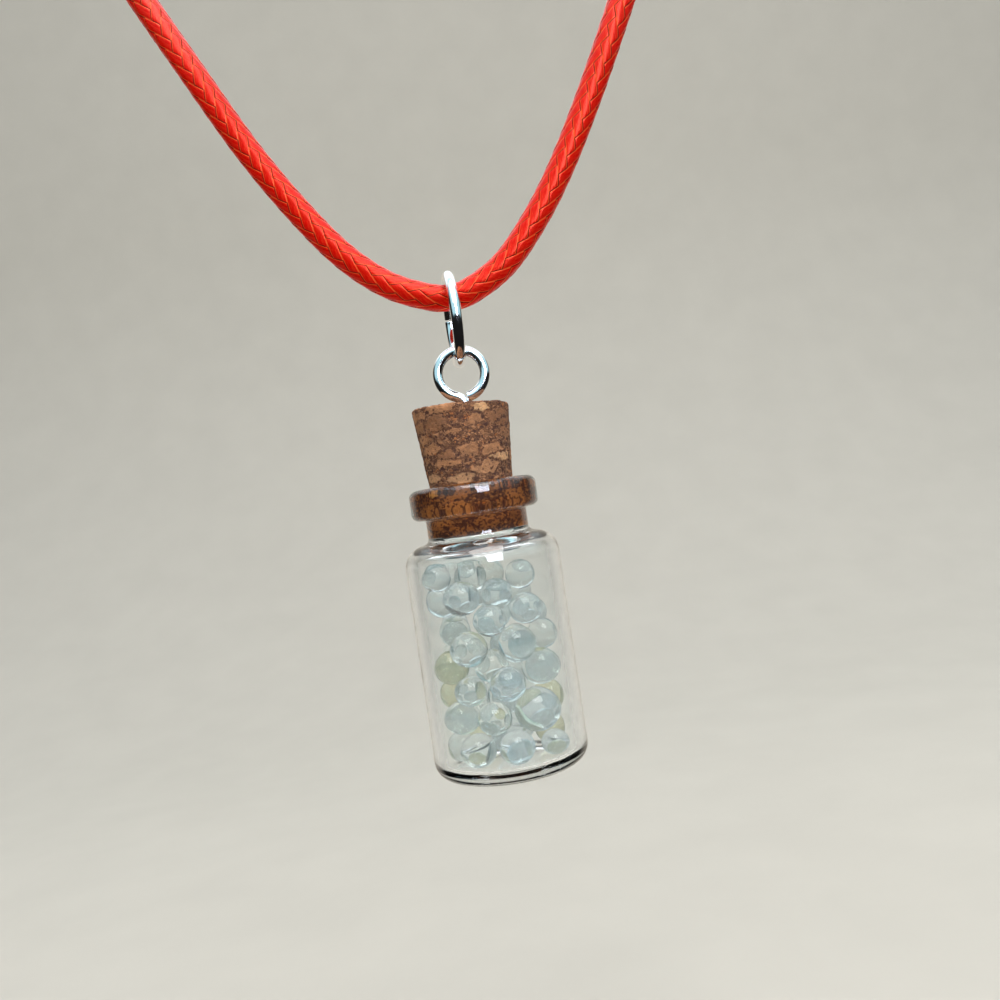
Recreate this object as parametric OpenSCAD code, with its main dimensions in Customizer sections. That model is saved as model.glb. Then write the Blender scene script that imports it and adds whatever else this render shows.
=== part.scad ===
// Bottle pendant on a waxed cord: a corked glass vial of loose glass balls that hangs
// by a screw eye and a jump ring from a red cord, closed by a barrel clasp at the nape.
// Millimetres. +Z is up, the front of the necklace faces -Y, and the wearer's left is +X.
// The origin is the point at the nape where the clasp rests on the neck.

/* [Cord] */
// Thickness of the cord
cord_d = 2; // [1.6:0.1:2.2]

/* [Clasp] */
// Thickness of the barrel clasp
clasp_d = 3.6; // [3.2:0.1:4.4]
// Length of the barrel clasp
clasp_len = 14; // [12:0.5:16]
// Rounding of the barrel's ends
clasp_round = 0.5; // [0.2:0.1:0.6]
// How deep each end of the cord goes into the barrel
cord_grip = 4; // [3:0.5:5]

/* [Jump ring] */
// Outside width of the ring
ring_od = 6.9; // [6.5:0.1:8]
// Thickness of the ring's wire
ring_wire = 0.8; // [0.6:0.05:0.9]
// Turn of the ring about the vertical, its back towards the wearer's right
ring_turn = 6; // [0:1:12]
// Height of the ring's cut, in degrees up from its rearmost point
ring_cut_up = 10; // [0:1:30]
// Width of the ring's closed cut
ring_cut = 0.1; // [0.06:0.02:0.2]

/* [Screw eye] */
// Outside width of the eye
eye_od = 4.1; // [3.7:0.1:4.4]
// Thickness of the eye's wire
eye_wire = 0.75; // [0.6:0.05:0.8]
// Thickness of the shank
shank_d = 0.9; // [0.8:0.05:1]
// Length of the shank below the eye
shank_len = 6; // [4:0.5:7]
// How far the eye stands above the cork
eye_lift = 0.15; // [0.1:0.05:0.6]
// Distance of the eye from the cork's centre
eye_offset = 0.45; // [0:0.05:0.8]

/* [Cork] */
// Width of the cork at its top
cork_top_d = 7.1; // [6.8:0.1:7.4]
// Slope of the cork's side, in degrees
cork_slope = 4.85; // [4:0.05:5.5]
// Length of the cork that stands out of the bottle
cork_out = 5.6; // [4:0.1:7]
// Length of the cork inside the neck
cork_in = 3.8; // [3:0.1:4]
// Bevel of the cork's edges
cork_bevel = 0.15; // [0.05:0.05:0.3]

/* [Bottle] */
// Height of the bottle
bottle_h = 20.4; // [20:0.1:24]
// Width of the body
body_d = 11; // [10.8:0.1:12]
// Thickness of the glass wall
wall = 0.85; // [0.7:0.05:0.95]
// Thickness of the base
base_t = 0.9; // [0.8:0.05:1.2]
// Rounding of the body's lower edge
base_round = 0.8; // [0.5:0.1:1]
// Rounding of the shoulder
shoulder_round = 1.5; // [1.2:0.1:1.8]
// Distance from the shoulder to the bottle's mouth
neck_h = 3.9; // [3.8:0.1:4.4]
// Width of the neck
neck_d = 7.2; // [7.1:0.1:7.4]
// Rounding where the neck meets the shoulder
neck_round = 0.45; // [0.3:0.05:0.6]
// Width of the lip
lip_d = 9.1; // [8.6:0.1:9.6]
// Height of the lip
lip_h = 2.2; // [1.8:0.1:2.5]
// Rounding of the lip's edges
lip_round = 0.35; // [0.2:0.05:0.5]

/* [Glass balls] */
// Clear gap round each ball
ball_gap = 0.1; // [0.1:0.02:0.16]

/* [Hidden] */
$fn = 96;

// Free play between pieces that hang on or fit each other
play = 0.05;

// Route of the cord's middle, from one end in the clasp round the front to the other
route = [
    [-3.2, 1.8, 0], [-7.2, 1.8, 0], [-12, 1.7, 0], [-23, -1, -0.3], [-36, -9.5, -1.2], [-47, -22, -3.3],
    [-54, -37, -7], [-56.5, -53, -13], [-54, -69, -22], [-48, -84, -34], [-40.2, -96, -48],
    [-32.4, -104, -63], [-25.6, -108.5, -76.5], [-20.2, -111, -88.4], [-16, -112, -97],
    [-12.7, -112, -103.5], [-9.7, -112, -108.4], [-7, -112, -112], [-4.3, -112, -114.4],
    [-1.6, -112, -115.7], [0, -112, -116], [1.6, -112, -115.7],
    [4.2, -112, -114.2], [6.8, -112, -111.4], [9.2, -112, -108], [11.9, -112, -103.3],
    [15, -112, -97.3], [19.3, -111, -88.5], [25, -108.5, -76.5], [32, -104, -63],
    [40, -96, -48], [48, -84, -34], [54, -69, -22], [56.5, -53, -13], [54, -37, -7],
    [47, -22, -3.3], [36, -9.5, -1.2], [23, -1, -0.3], [12, 1.7, 0], [7.2, 1.8, 0],
    [3.2, 1.8, 0]
];
route_steps = 2;
cord_sides = 8;
cord_low = route[floor(len(route) / 2)];
clasp_axis_y = route[0].y;

// Middle of the loop seen from above, which the cord's sections face
loop_middle = [0, -55];

// Heights from the cord's lowest point down to the bottle's base
ring_r = (ring_od - ring_wire) / 2;
ring_z = cord_low.z + cord_d / 2 + play + ring_wire / 2 - ring_r;
ring_foot_z = ring_z - ring_r;
eye_r = (eye_od - eye_wire) / 2;
eye_z = ring_foot_z + (ring_wire + eye_wire) / 2 + play - eye_r;
cork_top_z = eye_z - eye_od / 2 - eye_lift;
mouth_z = cork_top_z - cork_out;
base_z = mouth_z - bottle_h;

// Half widths of the cork and of the bore that it fills
cork_h = cork_out + cork_in;
function cork_r(below_top) = cork_top_d / 2 - below_top * tan(cork_slope);
body_r = body_d / 2;
inner_r = body_r - wall;
shoulder_z = bottle_h - neck_h;
cavity_top = shoulder_z - wall;
cavity_round = 0.5;

// The balls in the order in which they were dropped in. Columns: the angle from the front
// towards the wearer's left, the share of the way out to the glass, and the diameter.
BALL_ANGLE = 0;
BALL_REACH = 1;
BALL_D = 2;
balls = [
    [-37, 1, 2.4], [9, 1, 2.4], [56, 1, 1.8], [-88, 1, 2.1], [112, 1, 2.4],
    [165, 1, 2.5], [-142, 1, 2.4], [0, 0, 2.6], [-57, 1, 2.4], [-11, 1, 2.3],
    [47, 1, 3.1], [100, 1, 2.4], [145, 1, 2.3], [-165, 1, 2.5], [-112, 1, 2.3],
    [180, 0.1, 2.5], [-34, 1, 2.1], [9, 1, 2.4], [-90, 1, 2.1], [-138, 1, 2.2],
    [170, 1, 2.3], [122, 1, 2.3], [-70, 1, 2.4], [-19, 0.4, 2.4], [61, 1, 2.6],
    [-118, 1, 2.2], [-165, 1, 2.3], [152, 1, 2.3], [130, 0.3, 2.4], [-31, 1, 2.5],
    [27, 1, 2.6], [86, 1, 2.2], [-72, 0.8, 2.2], [114, 1, 2], [175, 1, 2.2],
    [-125, 1, 2.1], [160, 0.35, 2.3], [-1, 1, 2.2], [44, 1, 2.2], [140, 1, 2.2],
    [-165, 1, 2.3], [-30, 1, 2.4], [-88, 1, 2.4], [21, 0.5, 2.2], [72, 0.73, 2.1],
    [-60, 0.35, 2.3], [-130, 1, 2.2], [-64, 1, 1.9], [170, 0.5, 2.2]
];

// Where a ball comes to rest: on the floor, or on the highest ball under it.
// Gives its middle and its diameter, with the height counted from the bottle's base.
function resting(ball, settled) =
    let (
        d = ball[BALL_D],
        out = ball[BALL_REACH] * (inner_r - ball_gap - d / 2),
        x = out * sin(ball[BALL_ANGLE]),
        y = -out * cos(ball[BALL_ANGLE]),
        seats = [
            for (other = settled)
                let (
                    apart = norm([x - other[0], y - other[1]]),
                    reach = (d + other[3]) / 2 + ball_gap
                )
                if (apart < reach) other[2] + sqrt(reach * reach - apart * apart)
        ]
    )
    [x, y, max(concat([base_t + ball_gap + d / 2], seats)), d];

function settle(settled, next) =
    next == len(balls) ? settled
    : settle(concat(settled, [resting(balls[next], settled)]), next + 1);

// A smooth curve through the route's points, with route_steps sections to each stretch
function on_curve(a, b, c, d, t) =
    (2 * b + (c - a) * t + (2 * a - 5 * b + 4 * c - d) * t * t
        + (3 * b - a - 3 * c + d) * t * t * t) / 2;
function route_at(i) = route[max(0, min(len(route) - 1, i))];
cord_path = concat(
    [
        for (i = [0 : len(route) - 2], step = [0 : route_steps - 1])
            on_curve(route_at(i - 1), route_at(i), route_at(i + 1), route_at(i + 2), step / route_steps)
    ],
    [route[len(route) - 1]]
);

function unit(v) = v / norm(v);
function heading(i) =
    unit(cord_path[min(i + 1, len(cord_path) - 1)] - cord_path[max(i - 1, 0)]);
function section(i) =
    let (
        middle = cord_path[i],
        along = heading(i),
        away = [middle.x - loop_middle.x, middle.y - loop_middle.y, 0],
        side = unit(away - (away * along) * along),
        other = cross(along, side)
    )
    [
        for (k = [0 : cord_sides - 1])
            let (turn = 360 * k / cord_sides)
            middle + cord_d / 2 * (cos(turn) * side + sin(turn) * other)
    ];

// Half of an outline that rotates into a block with rounded lower and upper edges
module rounded_half(r, low, high, low_round, high_round) {
    translate([0, low]) square([r - low_round, high - low]);
    translate([0, low]) square([r - high_round, high - low]);
    translate([0, low + low_round]) square([r, high - low - low_round - high_round]);
    translate([r - low_round, low + low_round]) circle(low_round);
    translate([r - high_round, high - high_round]) circle(high_round);
}

// Half of the outline of the glass, which fills the inner corner at a neck
module inner_corner_half(r, z, round) {
    difference() {
        translate([r - round, z - round]) square(2 * round);
        translate([r + round, z + round]) circle(round);
    }
}

// The cord: one tube along the whole route
module cord() {
    sections = [for (i = [0 : len(cord_path) - 1]) section(i)];
    last = len(sections) - 1;
    corners = [for (ring = sections, corner = ring) corner];
    walls = [
        for (i = [0 : last - 1], k = [0 : cord_sides - 1])
            let (next = (k + 1) % cord_sides)
            [
                i * cord_sides + k, i * cord_sides + next,
                (i + 1) * cord_sides + next, (i + 1) * cord_sides + k
            ]
    ];
    first_end = [for (k = [cord_sides - 1 : -1 : 0]) k];
    last_end = [for (k = [0 : cord_sides - 1]) last * cord_sides + k];
    color("orangered") polyhedron(corners, concat(walls, [first_end, last_end]));
}

// The barrel clasp: closed in the middle, with a blind bore for each end of the cord
module clasp() {
    bore_d = cord_d + 2 * play;
    color("silver")
        translate([0, clasp_axis_y, 0])
        rotate([0, 90, 0])
        difference() {
            translate([0, 0, -clasp_len / 2])
                rotate_extrude()
                rounded_half(clasp_d / 2, 0, clasp_len, clasp_round, clasp_round);
            for (end = [-1, 1])
                translate([0, 0, end * clasp_len / 2])
                    cylinder(h = 2 * cord_grip, d = bore_d, center = true);
        }
}

// The jump ring: round wire, bent until its cut ends nearly meet
module jump_ring() {
    cut_angle = ring_cut / ring_r * 180 / PI;
    color("gainsboro")
        translate([0, cord_low.y, ring_z])
        rotate([0, 90, ring_turn])
        rotate([0, 0, 90 + ring_cut_up + cut_angle / 2])
        rotate_extrude(angle = 360 - cut_angle)
        translate([ring_r, 0])
        circle(d = ring_wire);
}

// The screw eye: a loop of wire with a slit where its end meets the shank
module screw_eye() {
    tip = shank_d;
    slit = 0.1;
    slit_lean = 20;
    color("gainsboro")
        translate([0, cord_low.y, eye_z])
        difference() {
            union() {
                rotate([90, 0, 0])
                    rotate_extrude()
                    translate([eye_r, 0])
                    circle(d = eye_wire);
                translate([0, 0, -eye_r - shank_len + tip])
                    cylinder(h = shank_len - tip, d = shank_d);
                translate([0, 0, -eye_r - shank_len])
                    cylinder(h = tip, d1 = shank_d / 4, d2 = shank_d);
            }
            rotate([0, -slit_lean, 0])
                translate([0, 0, -eye_r])
                cube([slit, 2 * eye_wire, 1.2 * eye_wire], center = true);
        }
}

// The cork: a tapered plug, drilled for the shank
module cork() {
    foot_r = cork_r(cork_h);
    drill_depth = shank_len + eye_r - eye_od / 2 - eye_lift + play;
    color("peru")
        translate([0, cord_low.y, cork_top_z - cork_h])
        difference() {
            translate([-eye_offset, 0, 0])
                rotate_extrude()
                polygon([
                    [0, 0], [foot_r - cork_bevel, 0], [foot_r, cork_bevel],
                    [cork_r(cork_bevel), cork_h - cork_bevel],
                    [cork_top_d / 2 - cork_bevel, cork_h], [0, cork_h]
                ]);
            translate([0, 0, cork_h - drill_depth])
                cylinder(h = drill_depth + 1, d = shank_d + 2 * play);
        }
}

// The bottle: a vial with a rounded shoulder, a short neck and a thick lip
module bottle() {
    neck_r = neck_d / 2;
    bore_top_r = cork_r(cork_out) + play;
    bore_low_r = cork_r(cork_h) + play;
    color("lightcyan", 0.4)
        translate([-eye_offset, cord_low.y, base_z])
        rotate_extrude()
        difference() {
            union() {
                rounded_half(body_r, 0, shoulder_z, base_round, shoulder_round);
                translate([0, shoulder_z - wall]) square([neck_r, neck_h]);
                inner_corner_half(neck_r, shoulder_z, neck_round);
                rounded_half(lip_d / 2, bottle_h - lip_h, bottle_h, lip_round, lip_round);
            }
            rounded_half(inner_r, base_t, cavity_top, cavity_round, cavity_round);
            polygon([
                [0, cavity_top - cavity_round], [bore_low_r, cavity_top - cavity_round],
                [bore_low_r, bottle_h - cork_in], [bore_top_r, bottle_h], [0, bottle_h]
            ]);
        }
}

// The loose glass balls, settled on the bottle's floor and on each other
module glass_balls() {
    color("aliceblue", 0.6)
        translate([-eye_offset, cord_low.y, base_z])
        for (ball = settle([], 0))
            translate([ball[0], ball[1], ball[2]])
                sphere(d = ball[3]);
}

cord();
clasp();
jump_ring();
screw_eye();
cork();
bottle();
glass_balls();
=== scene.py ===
import math
import random

import bpy
from bpy.props import FloatProperty, FloatVectorProperty, IntProperty, PointerProperty
from mathutils import Matrix, Vector, noise


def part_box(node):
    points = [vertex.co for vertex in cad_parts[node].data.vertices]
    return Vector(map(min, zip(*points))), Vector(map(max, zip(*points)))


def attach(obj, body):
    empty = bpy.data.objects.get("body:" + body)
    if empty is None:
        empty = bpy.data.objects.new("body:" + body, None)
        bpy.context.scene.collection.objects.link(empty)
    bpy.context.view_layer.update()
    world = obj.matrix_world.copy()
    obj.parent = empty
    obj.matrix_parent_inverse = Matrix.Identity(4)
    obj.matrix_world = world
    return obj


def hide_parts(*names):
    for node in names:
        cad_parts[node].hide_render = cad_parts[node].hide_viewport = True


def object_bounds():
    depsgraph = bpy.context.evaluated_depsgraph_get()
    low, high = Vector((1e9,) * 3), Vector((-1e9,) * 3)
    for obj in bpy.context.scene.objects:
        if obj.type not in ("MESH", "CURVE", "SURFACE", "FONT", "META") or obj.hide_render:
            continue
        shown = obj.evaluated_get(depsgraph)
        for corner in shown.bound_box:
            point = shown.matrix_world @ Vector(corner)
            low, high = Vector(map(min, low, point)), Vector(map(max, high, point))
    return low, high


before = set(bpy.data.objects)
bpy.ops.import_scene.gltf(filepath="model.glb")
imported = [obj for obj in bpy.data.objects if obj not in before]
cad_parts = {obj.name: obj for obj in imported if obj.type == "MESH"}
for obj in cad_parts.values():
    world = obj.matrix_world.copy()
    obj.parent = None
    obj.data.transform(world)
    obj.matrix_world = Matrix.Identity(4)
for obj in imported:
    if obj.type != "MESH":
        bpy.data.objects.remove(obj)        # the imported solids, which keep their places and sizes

CAD_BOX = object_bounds()

bl_info = {
    "name": "Bottle pendant",
    "version": (1, 0, 0),
    "blender": (4, 5, 0),
    "location": "3D View > Sidebar > Pendant",
    "description": "Models a corked glass vial of loose glass balls on a red waxed cord",
    "category": "Add Mesh",
}

MM = 0.001

# Points closer than this are one point of a mesh
MERGE = 0.004 * MM

# The cord's middle line as the solid has it: from one end in the clasp round the side of the neck,
# then down the front to the ring and up again, and back to the clasp the same way on the other side
NECK_SIDE = [
    (-0.0032, 0.0018, 0), (-0.0072, 0.0018, 0), (-0.012, 0.0017, 0), (-0.023, -0.001, -0.0003),
    (-0.036, -0.0095, -0.0012), (-0.047, -0.022, -0.0033), (-0.054, -0.037, -0.007),
    (-0.0565, -0.053, -0.013), (-0.054, -0.069, -0.022), (-0.048, -0.084, -0.034),
]
FRONT = [
    (-0.0402, -0.096, -0.048), (-0.0324, -0.104, -0.063), (-0.0256, -0.1085, -0.0765),
    (-0.0202, -0.111, -0.0884), (-0.016, -0.112, -0.097), (-0.0127, -0.112, -0.1035),
    (-0.0097, -0.112, -0.1084), (-0.007, -0.112, -0.112), (-0.0043, -0.112, -0.1144),
    (-0.0016, -0.112, -0.1157), (0, -0.112, -0.116), (0.0016, -0.112, -0.1157),
    (0.0042, -0.112, -0.1142), (0.0068, -0.112, -0.1114), (0.0092, -0.112, -0.108),
    (0.0119, -0.112, -0.1033), (0.015, -0.112, -0.0973), (0.0193, -0.111, -0.0885),
    (0.025, -0.1085, -0.0765), (0.032, -0.104, -0.063), (0.04, -0.096, -0.048),
]
ROUTE = NECK_SIDE + FRONT + [(-x, y, z) for x, y, z in reversed(NECK_SIDE)]
CURVE_STEPS = 24     # points to each stretch of the route

# The braid: strands that lean each way, and mesh steps to one strand's width
STRANDS = 8
STRAND_STEPS = 6

# Each strand goes over two and under two, so the braid repeats after this many
BRAID_REPEAT = 4


def linear(hex_colour):
    """Turns an sRGB hex colour into Blender's linear red, green, blue and alpha."""
    parts = [int(hex_colour[i:i + 2], 16) / 255 for i in (1, 3, 5)]
    return [c / 12.92 if c <= 0.04045 else ((c + 0.055) / 1.055) ** 2.4 for c in parts] + [1.0]


def length_prop(name, description, default):
    """A length in metres."""
    return FloatProperty(
        name=name, description=description, default=default, unit="LENGTH", precision=5, min=0
    )


def angle_prop(name, description, degrees):
    """An angle, given here in degrees."""
    return FloatProperty(name=name, description=description, default=math.radians(degrees), subtype="ANGLE")


def factor_prop(name, description, default):
    """A share from 0 to 1."""
    return FloatProperty(name=name, description=description, default=default, subtype="FACTOR", min=0, max=1)


def colour_prop(name, description, hex_colour):
    """A colour, given here as sRGB hex."""
    return FloatVectorProperty(
        name=name, description=description, default=linear(hex_colour), subtype="COLOR", size=4, min=0, max=1
    )


class CordSettings(bpy.types.PropertyGroup):
    """The waxed cord."""

    thickness: length_prop("Thickness", "Outside width of the braid", 2 * MM)
    pitch: length_prop("Pitch", "Length of one plait along the cord", 1.4 * MM)
    flatness: factor_prop("Flatness", "How far the strands lie in flats, as on an eight-sided bar", 0.75)
    side_drop: length_prop("Side drop", "How far a strand's sides lie below its crown", 0.018 * MM)
    end_drop: length_prop("End drop", "How far a strand dives before it goes under the next", 0.05 * MM)
    twist: angle_prop("Twist", "Turn of the braid from one end of the cord to the other", 650)
    colour: colour_prop("Colour", "Dyed and waxed strands", "#DA0700")
    # Painted highlight: a lighter orange put on the strands' edges and filaments for light caught there
    glint_colour: colour_prop("Edge colour", "Thin wax at the strands' edges", "#FF6A30")
    seam_colour: colour_prop("Seam colour", "Shade between the strands", "#700300")
    gloss_colour: colour_prop("Gloss colour", "Tint of the gloss on the dyed wax", "#FF785E")


class MetalSettings(bpy.types.PropertyGroup):
    """The ring, the screw eye and the clasp."""

    ring_wire: length_prop("Ring wire", "Thickness of the jump ring's wire", 0.8 * MM)
    ring_turn: angle_prop("Ring turn", "Turn of the ring about the vertical", 6)
    ring_cut_up: angle_prop("Cut height", "Height of the ring's cut above its rearmost point", 10)
    ring_cut: length_prop("Cut width", "Gap between the ring's ends", 0.1 * MM)
    eye_wire: length_prop("Eye wire", "Thickness of the screw eye's wire", 0.75 * MM)
    shank: length_prop("Shank", "Thickness of the screw eye's shank", 0.9 * MM)
    colour: colour_prop("Colour", "Bright plating", "#E6E9EC")


class CorkSettings(bpy.types.PropertyGroup):
    """The cork."""

    slope: angle_prop("Slope", "Slope of the cork's side", 4.85)
    edge_round: length_prop("Edge rounding", "Rounding of the cork's worn edges", 0.3 * MM)
    drill: length_prop("Drilling", "Width of the hole for the screw eye", 1 * MM)
    squeeze: length_prop("Squeeze", "How far the neck presses the cork's side in", 0.03 * MM)
    askew: angle_prop("Askew", "Slant of the cork's top, as it was cut", 3)
    pit_depth: length_prop("Pit depth", "Depth of the deepest pits", 0.14 * MM)
    flake: length_prop("Flake", "Usual width of a cork flake", 2 * MM)
    crumb: length_prop("Crumb", "Usual width of the crumbs between the flakes", 0.24 * MM)
    dark: colour_prop("Dark cork", "Darkest flakes and crumbs", "#885834")
    middle: colour_prop("Middle cork", "Most flakes and crumbs", "#B07A50")
    pale: colour_prop("Pale cork", "Palest flakes", "#D4A476")
    bark: colour_prop("Bark", "Dark bark and gaps between the crumbs", "#45200F")
    amber: colour_prop("Amber", "Crumbs soaked with glue", "#B4692C")
    # Tint multiplied into the cork inside the neck, darker and more golden
    pressed: colour_prop("Pressed", "Tint of the cork that the glass presses and wets", "#ECC488")


class BottleSettings(bpy.types.PropertyGroup):
    """The glass vial."""

    wall: length_prop("Wall", "Thickness of the glass wall", 0.85 * MM)
    base: length_prop("Base", "Thickness of the base", 0.9 * MM)
    base_round: length_prop("Base rounding", "Rounding of the body's lower edge", 1.2 * MM)
    punt: length_prop("Punt", "How far the underside is pushed up in the middle", 0.25 * MM)
    shoulder_round: length_prop("Shoulder rounding", "Rounding of the shoulder", 1.6 * MM)
    neck_height: length_prop("Neck height", "From the shoulder to the mouth", 3.9 * MM)
    neck_width: length_prop("Neck width", "Outside width of the neck", 7.2 * MM)
    neck_round: length_prop("Neck rounding", "Rounding where the neck meets the shoulder", 0.45 * MM)
    lip_width: length_prop("Lip width", "Outside width of the lip", 9.1 * MM)
    lip_height: length_prop("Lip height", "Height of the lip", 2.2 * MM)
    lip_round: length_prop("Lip rounding", "Rounding of the lip's edges", 0.55 * MM)
    cork_depth: length_prop("Cork depth", "Length of the cork inside the neck", 3.8 * MM)
    colour: colour_prop("Colour", "Tint of the glass", "#FCFEFE")


class BallSettings(bpy.types.PropertyGroup):
    """The loose glass balls."""

    unevenness: factor_prop("Unevenness", "How far a ball is from round, as a share of its width", 0.02)
    clear: colour_prop("Clear balls", "Tint of the clearest balls", "#F4F6F2")
    cloudy: colour_prop("Cloudy balls", "Tint of the cloudiest balls", "#EAF1F3")
    aged: colour_prop("Aged balls", "Tint of the few balls of older, greener glass", "#E9E8D0")
    seed: IntProperty(name="Seed", description="Draws the balls' tints and unevenness", default=5)


class StageSettings(bpy.types.PropertyGroup):
    """The floor, the lights and the camera."""

    eye: FloatVectorProperty(
        name="Camera", description="Place of the camera", default=(0.0014, -0.1815, -0.1308),
        size=3, subtype="TRANSLATION", unit="LENGTH",
    )
    roll: angle_prop("Roll", "Clockwise tilt of the picture's own upright", 8.5)
    lens: FloatProperty(
        name="Lens", description="Focal length on a 36 mm sensor", default=35.1, unit="CAMERA"
    )
    floor_drop: length_prop("Floor drop", "Distance of the floor below the bottle", 45 * MM)
    colour: colour_prop("Floor", "Pale matt floor and backdrop", "#CCCAC2")


class PendantSettings(bpy.types.PropertyGroup):
    """Sizes and colours of the bottle pendant."""

    cord: PointerProperty(type=CordSettings)
    metal: PointerProperty(type=MetalSettings)
    cork: PointerProperty(type=CorkSettings)
    bottle: PointerProperty(type=BottleSettings)
    balls: PointerProperty(type=BallSettings)
    stage: PointerProperty(type=StageSettings)


def put(tree, kind, inputs=None, stops=(), **settings):
    """Adds a node with its settings, gives its inputs values or links, and returns its outputs.

    Inputs go by name or number. A Map Range reads from 1 to 2 and gives 3 to 4. A Mix goes from 6 to 7
    for colours, and from 2 to 3 for numbers, by the share in 0. The stops are those of a colour ramp.
    """
    node = tree.nodes.new(kind)
    for name, value in settings.items():
        setattr(node, name, value)
    for key, value in (inputs or {}).items():
        if isinstance(value, bpy.types.NodeSocket):
            tree.links.new(value, node.inputs[key])
        else:
            node.inputs[key].default_value = value
    if stops:
        ramp = node.color_ramp.elements
        while len(ramp) < len(stops):
            ramp.new(0.5)
        for stop, (position, colour) in zip(ramp, stops):
            stop.position = position
            stop.color = colour
    return node.outputs


def new_material(name):
    """An empty node material, and its tree."""
    material = bpy.data.materials.new(name)
    material.use_nodes = True
    material.node_tree.nodes.clear()
    return material, material.node_tree


def select_only(obj):
    """Makes obj the only selected object, and the active one."""
    bpy.ops.object.select_all(action="DESELECT")
    obj.select_set(True)
    bpy.context.view_layer.objects.active = obj


def finish_piece(obj, name, body, node, material):
    """Names a piece, bakes its place into its mesh, and puts it where the solid was."""
    select_only(obj)
    bpy.ops.object.transform_apply(location=True, rotation=True, scale=True)
    obj.name = name
    obj.data.name = name
    obj.data.materials.clear()
    obj.data.materials.append(material)
    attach(obj, body)
    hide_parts(node)


def arc(middle, radius, start, end, steps):
    """Points on an arc, as (distance from the axis, height), from one angle in degrees to another."""
    points = []
    for step in range(steps + 1):
        angle = math.radians(start + (end - start) * step / steps)
        points.append((middle[0] + radius * math.cos(angle), middle[1] + radius * math.sin(angle)))
    return points


def filled_in(outline, spacing):
    """The same outline with points added so that none are further apart than spacing."""
    points = [outline[0]]
    for (r0, z0), (r1, z1) in zip(outline, outline[1:]):
        count = max(1, math.ceil(math.hypot(r1 - r0, z1 - z0) / spacing))
        points += [(r0 + (r1 - r0) * k / count, z0 + (z1 - z0) * k / count) for k in range(1, count + 1)]
    return points


def lathe(outline, axis_foot, steps):
    """Draws half of an outline edge by edge, then spins it into a closed body round the upright axis."""
    bpy.ops.object.select_all(action="DESELECT")
    start = Vector(axis_foot) + Vector((outline[0][0], 0, outline[0][1]))
    bpy.ops.mesh.primitive_plane_add(size=MM, location=start)
    obj = bpy.context.object
    bpy.ops.object.transform_apply(location=True)
    bpy.ops.object.mode_set(mode="EDIT")
    bpy.ops.mesh.select_mode(type="VERT")
    bpy.ops.mesh.select_all(action="SELECT")
    bpy.ops.mesh.merge(type="CENTER")
    for (r0, z0), (r1, z1) in zip(outline, outline[1:]):
        bpy.ops.mesh.extrude_vertices_move(TRANSFORM_OT_translate={"value": (r1 - r0, 0, z1 - z0)})
    bpy.ops.mesh.select_all(action="SELECT")
    bpy.ops.mesh.spin(steps=steps, angle=math.tau, center=axis_foot, axis=(0, 0, 1))
    bpy.ops.mesh.select_all(action="SELECT")
    bpy.ops.mesh.remove_doubles(threshold=MERGE)
    bpy.ops.mesh.normals_make_consistent(inside=False)
    bpy.ops.object.mode_set(mode="OBJECT")
    bpy.ops.object.shade_smooth()
    return obj


def curve_points(route, steps):
    """Points on a smooth curve through the route, with the same number of steps in each stretch."""
    last = len(route) - 1
    points = []
    for i in range(last):
        a, b, c, d = (Vector(route[max(0, min(last, k))]) for k in (i - 1, i, i + 1, i + 2))
        for step in range(steps):
            t = step / steps
            bend = (2 * a - 5 * b + 4 * c - d) * t ** 2 + (3 * b - a - 3 * c + d) * t ** 3
            points.append((2 * b + (c - a) * t + bend) / 2)
    points.append(Vector(route[last]))
    return points


def evenly_spaced(points, spacing):
    """Points at equal steps along a line of points, as near to spacing as its length allows."""
    reached = [0.0]
    for a, b in zip(points, points[1:]):
        reached.append(reached[-1] + (b - a).length)
    count = round(reached[-1] / spacing)
    places = []
    i = 0
    for k in range(count + 1):
        wanted = reached[-1] * k / count
        while i < len(points) - 2 and reached[i + 1] < wanted:
            i += 1
        share = (wanted - reached[i]) / (reached[i + 1] - reached[i])
        places.append(points[i].lerp(points[i + 1], share))
    return places


def strand_place(turn, along):
    """Where a point of the braid lies on the strand that is on top there: across and lengthwise, 0 to 1."""
    leaning = (turn - along, turn + along)
    cells = [math.floor(x) for x in leaning]
    crossing = sum(cells) % BRAID_REPEAT
    top = crossing // 2
    across = leaning[top] - cells[top]
    lengthwise = (crossing % 2 + leaning[1 - top] - cells[1 - top]) / 2
    return across, lengthwise, top


def strand_drop(turn, along, cord):
    """How far the braid's surface lies below its outside width."""
    side_steepness = 5
    end_steepness = 8
    nudge = 0.01
    flat = cord.flatness * cord.thickness / 2 * (1 - math.cos(math.pi / STRANDS))
    drops = []
    for a in (-nudge, nudge):
        for b in (-nudge, nudge):
            across, lengthwise, _ = strand_place(turn + a, along + b)
            side = cord.side_drop * abs(2 * across - 1) ** side_steepness
            end = cord.end_drop * abs(2 * lengthwise - 1) ** end_steepness
            drops.append(side + end + flat * (1 - (2 * lengthwise - 1) ** 2))
    return max(drops)


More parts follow.
